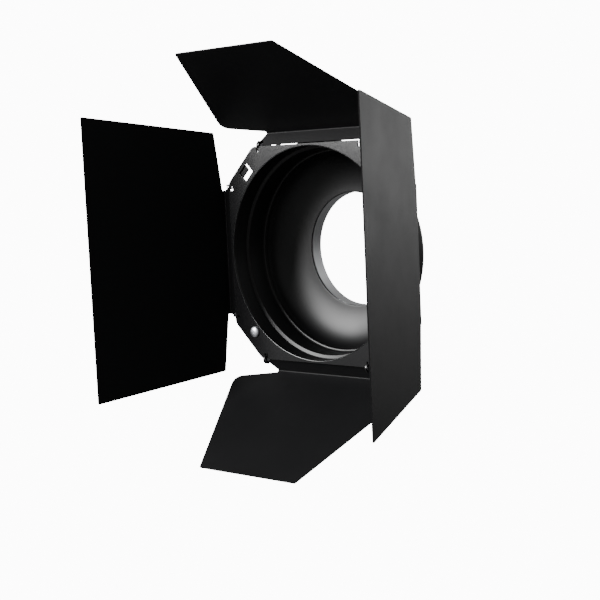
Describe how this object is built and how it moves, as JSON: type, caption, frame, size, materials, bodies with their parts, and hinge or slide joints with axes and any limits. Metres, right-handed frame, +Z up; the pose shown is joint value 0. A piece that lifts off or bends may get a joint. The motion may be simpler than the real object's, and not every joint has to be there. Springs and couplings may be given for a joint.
{
  "type": "barn door attachment",
  "caption": "Four-leaf barn door for a stage or studio spotlight: hinged black sheet leaves on a rotating frame, clipped to a round cup with a rear three-lug bayonet.",
  "frame": {"origin": "centre of the bayonet's rear face, on the optical axis, where the attachment locks onto a lamp", "axes": "+Z up, -Y the way the light leaves, +X to the right seen from in front of the plate looking at the lamp"},
  "size_m": [0.3077, 0.185, 0.3381],
  "materials": {
    "leaf_paint": "very matte black powder coat on sheet metal",
    "frame_paint": "satin black paint on sheet steel",
    "cup_paint": "satin black paint on spun metal",
    "cast_aluminium": "machined casting",
    "zinc_steel": "bright zinc plate",
    "spring_steel": "blackened spring steel"
  },
  "bodies": {
    "cup": {"reflector_cup": "cup_paint", "bayonet_ring": "cast_aluminium", "bayonet_rivet_1": "zinc_steel", "bayonet_rivet_2": "zinc_steel", "bayonet_rivet_3": "zinc_steel", "bayonet_rivet_4": "zinc_steel"},
    "frame": {"frame_plate": "frame_paint", "rim_hook_left": "frame_paint", "rim_hook_right": "frame_paint", "hinge_pin_top_1": "zinc_steel", "hinge_pin_top_2": "zinc_steel", "hinge_washer_top_1": "spring_steel", "hinge_washer_top_2": "spring_steel", "hinge_pin_left_1": "zinc_steel", "hinge_pin_left_2": "zinc_steel", "hinge_washer_left_1": "spring_steel", "hinge_washer_left_2": "spring_steel", "hinge_pin_bottom_1": "zinc_steel", "hinge_pin_bottom_2": "zinc_steel", "hinge_washer_bottom_1": "spring_steel", "hinge_washer_bottom_2": "spring_steel", "hinge_pin_right_1": "zinc_steel", "hinge_pin_right_2": "zinc_steel", "hinge_washer_right_1": "spring_steel", "hinge_washer_right_2": "spring_steel", "clip_screw_left": "zinc_steel", "clip_washer_left": "zinc_steel", "clip_nut_left": "zinc_steel", "clip_screw_right": "zinc_steel", "clip_washer_right": "zinc_steel", "clip_nut_right": "zinc_steel"},
    "leaf_top": {"leaf_top": "leaf_paint"},
    "leaf_left": {"leaf_left": "leaf_paint"},
    "leaf_bottom": {"leaf_bottom": "leaf_paint"},
    "leaf_right": {"leaf_right": "leaf_paint"},
    "rim_clip_left": {"rim_clip_left": "spring_steel"},
    "rim_clip_right": {"rim_clip_right": "spring_steel"}
  },
  "joints": [
    {"name": "frame_rotation", "type": "hinge", "parent": "cup", "child": "frame", "pos_m": [0, -0.07, 0], "axis": [0, 1, 0], "continuous": true},
    {"name": "top_leaf_hinge", "type": "hinge", "parent": "frame", "child": "leaf_top", "pos_m": [0, -0.06875, 0.0934], "axis": [-1, 0, 0], "range_deg": [-124.7, 38.3]},
    {"name": "left_leaf_hinge", "type": "hinge", "parent": "frame", "child": "leaf_left", "pos_m": [-0.0934, -0.06875, 0], "axis": [0, 0, -1], "range_deg": [-105.9, 46.1]},
    {"name": "bottom_leaf_hinge", "type": "hinge", "parent": "frame", "child": "leaf_bottom", "pos_m": [0, -0.06875, -0.0934], "axis": [1, 0, 0], "range_deg": [-121.7, 36.8]},
    {"name": "right_leaf_hinge", "type": "hinge", "parent": "frame", "child": "leaf_right", "pos_m": [0.0934, -0.06875, 0], "axis": [0, 0, 1], "range_deg": [-92, 50.5]},
    {"name": "left_clip_slide", "type": "slide", "parent": "frame", "child": "rim_clip_left", "axis": [-0.7071, 0, -0.7071], "range_m": [0, 0.005]},
    {"name": "right_clip_slide", "type": "slide", "parent": "frame", "child": "rim_clip_right", "axis": [0.7071, 0, -0.7071], "range_m": [0, 0.005]}
  ]
}
